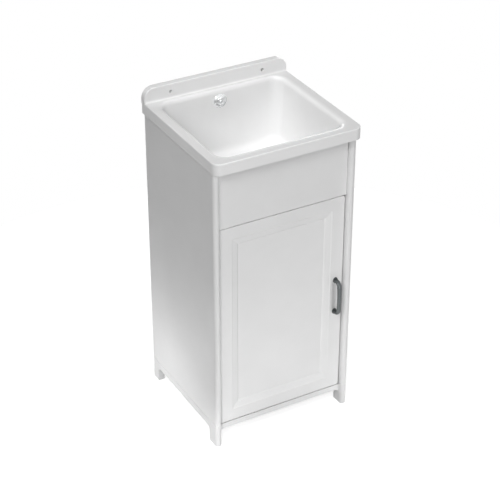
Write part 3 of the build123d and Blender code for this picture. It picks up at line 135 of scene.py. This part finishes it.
def height_ramp(tree, vector, low, high):
    """0 to 1 as the upward part of a vector grows from one value to another."""
    split = tree.nodes.new("ShaderNodeSeparateXYZ")
    tree.links.new(vector, split.inputs["Vector"])
    ramp = tree.nodes.new("ShaderNodeMapRange")
    ramp.inputs["From Min"].default_value = low
    ramp.inputs["From Max"].default_value = high
    tree.links.new(split.outputs["Z"], ramp.inputs["Value"])
    return ramp.outputs["Result"]


def bump(tree, shader, height, strength, distance):
    """Fine relief on the shader's surface."""
    node = tree.nodes.new("ShaderNodeBump")
    node.inputs["Strength"].default_value = strength
    node.inputs["Distance"].default_value = distance
    tree.links.new(height, node.inputs["Height"])
    tree.links.new(node.outputs["Normal"], shader.inputs["Normal"])


# ---------------------------------------------------------------- materials

# Moulded plastic: scales of the colour clouds and gloss clouds, and the skin's depth in metres.
CLOUD_SCALE = 9.0
GLOSS_CLOUD_SCALE = 40.0
GLOSS_VARIATION = 0.04
SKIN_DETAIL = 2.0
SKIN_DEPTH = 0.0002

# Metal: the marks make it smoother or rougher by these factors, and have this depth in metres.
MARK_DETAIL = 4.0
SMOOTHEST = 0.7
ROUGHEST = 1.3
MARK_DEPTH = 0.0001

# Painted shade on level faces at the top, darkening their colour as if less light fell there:
# heights where the painted shade starts and is full, the upward part of the normal where it
# starts, and the share of the colour that is left.
TOP_FADE_LOW = 0.840
TOP_FADE_HIGH = 0.846
LEVEL_FADE = 0.72
TOP_PAINTED_SHADE = 0.84


def grey(value):
    """Neutral colour."""
    return (value, value, value)


def moulded(name, dark, light, roughness, grain, relief, specular=0.5):
    """Moulded plastic: near-even colour, slightly cloudy gloss and a fine orange-peel skin."""
    material, tree, shader = new_material(name)
    cloud = noise(tree, CLOUD_SCALE)
    tree.links.new(two_tone(tree, cloud, dark, light), shader.inputs["Base Color"])
    glossiest, dullest = roughness - GLOSS_VARIATION, roughness + GLOSS_VARIATION
    gloss = spread(tree, noise(tree, GLOSS_CLOUD_SCALE), glossiest, dullest)
    tree.links.new(gloss, shader.inputs["Roughness"])
    shader.inputs["Specular IOR Level"].default_value = specular
    bump(tree, shader, noise(tree, grain, SKIN_DETAIL), relief, SKIN_DEPTH)
    return material


def metal(name, dark, light, roughness, scale, relief, stretch=EVEN, metallic=1.0):
    """Metal with fine marks, which run along one direction if they are stretched."""
    material, tree, shader = new_material(name)
    marks = noise(tree, scale, MARK_DETAIL, stretch)
    tree.links.new(two_tone(tree, marks, dark, light), shader.inputs["Base Color"])
    gloss = spread(tree, marks, roughness * SMOOTHEST, roughness * ROUGHEST)
    tree.links.new(gloss, shader.inputs["Roughness"])
    shader.inputs["Metallic"].default_value = metallic
    bump(tree, shader, marks, relief, MARK_DEPTH)
    return material


def paint_top_shade(material):
    """Painted shade: level faces at the top are made a little darker, standing in for less light
    on them.
    """
    tree = material.node_tree
    shader = next(node for node in tree.nodes if node.type == "BSDF_PRINCIPLED")
    colour = shader.inputs["Base Color"].links[0].from_socket
    place = tree.nodes.new("ShaderNodeTexCoord")
    high = height_ramp(tree, place.outputs["Object"], TOP_FADE_LOW, TOP_FADE_HIGH)
    level = height_ramp(tree, place.outputs["Normal"], LEVEL_FADE, 1.0)
    share = spread(tree, combine(tree, "MULTIPLY", high, level), 1.0, TOP_PAINTED_SHADE)
    shaded_colour = tree.nodes.new("ShaderNodeVectorMath")
    shaded_colour.operation = "SCALE"
    tree.links.new(colour, shaded_colour.inputs["Vector"])
    tree.links.new(share, shaded_colour.inputs["Scale"])
    tree.links.new(shaded_colour.outputs["Vector"], shader.inputs["Base Color"])


# How each material slot of the record looks: the function that makes it and its settings.
SLOT_LOOKS = {
    "basin_gloss": (
        moulded,
        dict(dark=grey(0.87), light=grey(0.90), roughness=0.22, grain=220.0, relief=0.05),
    ),
    "cabinet_white": (
        moulded,
        dict(dark=grey(0.80), light=grey(0.83), roughness=0.38, grain=500.0, relief=0.12),
    ),
    "inner_white": (
        moulded,
        dict(dark=grey(0.74), light=grey(0.79), roughness=0.5, grain=500.0, relief=0.15),
    ),
    "door_white": (
        moulded,
        dict(dark=grey(0.81), light=grey(0.84), roughness=0.36, grain=500.0, relief=0.12),
    ),
    "chrome": (
        metal,
        dict(
            dark=(0.80, 0.81, 0.82),
            light=(0.88, 0.89, 0.90),
            roughness=0.13,
            scale=60.0,
            relief=0.02,
            metallic=0.8,
        ),
    ),
    "handle_metal": (
        metal,
        dict(
            dark=(0.085, 0.095, 0.097),
            light=(0.125, 0.137, 0.140),
            roughness=0.36,
            scale=90.0,
            relief=0.05,
            stretch=(1.0, 1.0, 6.0),
            metallic=0.55,
        ),
    ),
    "rubber": (
        moulded,
        dict(
            dark=grey(0.018),
            light=grey(0.03),
            roughness=0.75,
            grain=700.0,
            relief=0.25,
            specular=0.3,
        ),
    ),
    "zinc_steel": (
        metal,
        dict(
            dark=(0.42, 0.43, 0.45),
            light=(0.58, 0.58, 0.60),
            roughness=0.34,
            scale=120.0,
            relief=0.08,
        ),
    ),
    "bush_plastic": (
        moulded,
        dict(dark=grey(0.68), light=grey(0.73), roughness=0.42, grain=600.0, relief=0.1),
    ),
    "catch_plastic": (
        moulded,
        dict(
            dark=(0.70, 0.70, 0.68),
            light=(0.76, 0.76, 0.74),
            roughness=0.4,
            grain=600.0,
            relief=0.1,
        ),
    ),
    "waste_plastic": (
        moulded,
        dict(
            dark=(0.70, 0.70, 0.69),
            light=(0.77, 0.77, 0.76),
            roughness=0.33,
            grain=300.0,
            relief=0.12,
        ),
    ),
}


def slot_materials():
    """One material for each material slot of the record."""
    return {slot: make(slot, **look) for slot, (make, look) in SLOT_LOOKS.items()}


def dress_cad_nodes(materials):
    """Each CAD node gets the material of its slot in the record."""
    for part in frame["record"]["subparts"]:
        mesh = frame["nodes"][part["node"]].data
        mesh.materials.clear()
        mesh.materials.append(materials[part["material_slot"]])


# ---------------------------------------------------------------- studio

FLOOR_RADIUS = 1.2
FLOOR_SEGMENTS = 96
FLOOR_GLOW = 0.72
FLOOR_CLOUD_SCALE = 0.6
WORLD_LEVEL = 0.05
HORIZON_BAND = 0.1
LAMP_DISTANCE = 3.5
LAMP_SIZE = 1.6


class StudioLamp(NamedTuple):
    """Large soft lamp on a circle about the sink; azimuth 0 is in front, and left is negative."""

    name: str
    azimuth: float
    elevation: float
    power: float


class NearLamp(NamedTuple):
    """Square soft lamp at a place, turned to a target, with a beam of some angle."""

    name: str
    place: tuple
    target: tuple
    size: float
    power: float
    beam: float = pi


STUDIO_LAMPS = (
    StudioLamp("left_lamp", azimuth=radians(-45), elevation=radians(42), power=54.0),
    StudioLamp("front_lamp", azimuth=radians(10), elevation=radians(0), power=39.0),
    StudioLamp("back_lamp", azimuth=radians(155), elevation=radians(5), power=26.0),
)

NEAR_LAMPS = (
    NearLamp("top_lamp", place=(0, 0, 3.0), target=(0, 0, 0), size=1.2, power=21.0),
    NearLamp("floor_lamp", place=(0, -0.55, 0.02), target=(0, -0.55, 1.0), size=0.4, power=0.4),
    NearLamp(
        "side_lamp", place=(-0.42, 0.12, 0.08), target=(-0.2, 0.14, 0.10), size=0.25, power=0.30
    ),
    NearLamp(
        "bowl_lamp",
        place=(-0.35, -0.2, 1.35),
        target=(0.15, 0.14, 0.74),
        size=0.2,
        power=0.1,
        beam=radians(60),
    ),
    NearLamp(
        "left_foot_lamp",
        place=(-0.46, -0.42, 0.08),
        target=(-0.205, -0.165, 0.03),
        size=0.12,
        power=0.03,
        beam=radians(40),
    ),
    NearLamp(
        "right_foot_lamp",
        place=(0.42, -0.50, 0.08),
        target=(0.20, -0.17, 0.03),
        size=0.12,
        power=0.018,
        beam=radians(40),
    ),
)


def camera_and_mirror_rays(tree):
    """1 for rays that show the background: from the camera, off a gloss or through glass."""
    rays = tree.nodes.new("ShaderNodeLightPath").outputs
    either = combine(tree, "MAXIMUM", rays["Is Camera Ray"], rays["Is Glossy Ray"])
    return combine(tree, "MAXIMUM", either, rays["Is Transmission Ray"])


def add_floor():
    """Round pale floor that shows white and keeps the sink's shadow."""
    mesh = bpy.data.meshes.new("studio_floor")
    turns = [2 * pi * step / FLOOR_SEGMENTS for step in range(FLOOR_SEGMENTS)]
    rim = [(FLOOR_RADIUS * cos(turn), FLOOR_RADIUS * sin(turn), 0) for turn in turns]
    mesh.from_pydata(rim, [], [range(FLOOR_SEGMENTS)])
    floor = bpy.data.objects.new("studio_floor", mesh)
    bpy.context.scene.collection.objects.link(floor)
    material, tree, shader = new_material("studio_floor")
    shader.inputs["Roughness"].default_value = 1.0
    shader.inputs["Specular IOR Level"].default_value = 0.0
    pale = two_tone(tree, noise(tree, FLOOR_CLOUD_SCALE), grey(0.80), grey(0.82))
    tree.links.new(pale, shader.inputs["Base Color"])
    shader.inputs["Emission Color"].default_value = WHITE
    glow = combine(tree, "MULTIPLY", camera_and_mirror_rays(tree), FLOOR_GLOW)
    tree.links.new(glow, shader.inputs["Emission Strength"])
    mesh.materials.append(material)


def add_world():
    """Even pale light from above the horizon, and white wherever the surroundings are seen."""
    world = bpy.data.worlds.new("studio")
    world.use_nodes = True
    tree = world.node_tree
    tree.nodes.clear()
    output = tree.nodes.new("ShaderNodeOutputWorld")
    background = tree.nodes.new("ShaderNodeBackground")
    background.inputs["Color"].default_value = WHITE
    direction = tree.nodes.new("ShaderNodeTexCoord").outputs["Generated"]
    upward = height_ramp(tree, direction, -HORIZON_BAND, HORIZON_BAND)
    sky = spread(tree, upward, 0.0, WORLD_LEVEL)
    level = combine(tree, "MAXIMUM", camera_and_mirror_rays(tree), sky)
    tree.links.new(level, background.inputs["Strength"])
    tree.links.new(background.outputs["Background"], output.inputs["Surface"])
    bpy.context.scene.world = world


def add_near_lamp(lamp):
    """One soft lamp, which the camera doesn't see."""
    light = bpy.data.lights.new(lamp.name, "AREA")
    light.spread = lamp.beam
    light.size = lamp.size
    light.energy = lamp.power
    holder = bpy.data.objects.new(lamp.name, light)
    holder.location = lamp.place
    aim = Vector(lamp.target) - Vector(lamp.place)
    holder.rotation_euler = aim.to_track_quat("-Z", "Y").to_euler()
    holder.visible_camera = False
    bpy.context.scene.collection.objects.link(holder)


def add_studio_lamp(lamp):
    """One large lamp at its place on the circle about the sink."""
    middle = (cad_box[0] + cad_box[1]) / 2
    level = cos(lamp.elevation)
    towards = Vector((sin(lamp.azimuth) * level, -cos(lamp.azimuth) * level, sin(lamp.elevation)))
    place = middle + LAMP_DISTANCE * towards
    add_near_lamp(NearLamp(lamp.name, place, middle, LAMP_SIZE, lamp.power))


def add_lamps():
    """Large lamps round the sink, then one above it and weak ones low down and over the bowl."""
    for lamp in STUDIO_LAMPS:
        add_studio_lamp(lamp)
    for lamp in NEAR_LAMPS:
        add_near_lamp(lamp)


add_camera()
materials = slot_materials()
# Painted shade on the basin's level top faces.
paint_top_shade(materials["basin_gloss"])
dress_cad_nodes(materials)
add_floor()
add_world()
add_lamps()

bpy.context.scene.view_settings.view_transform = "Standard"
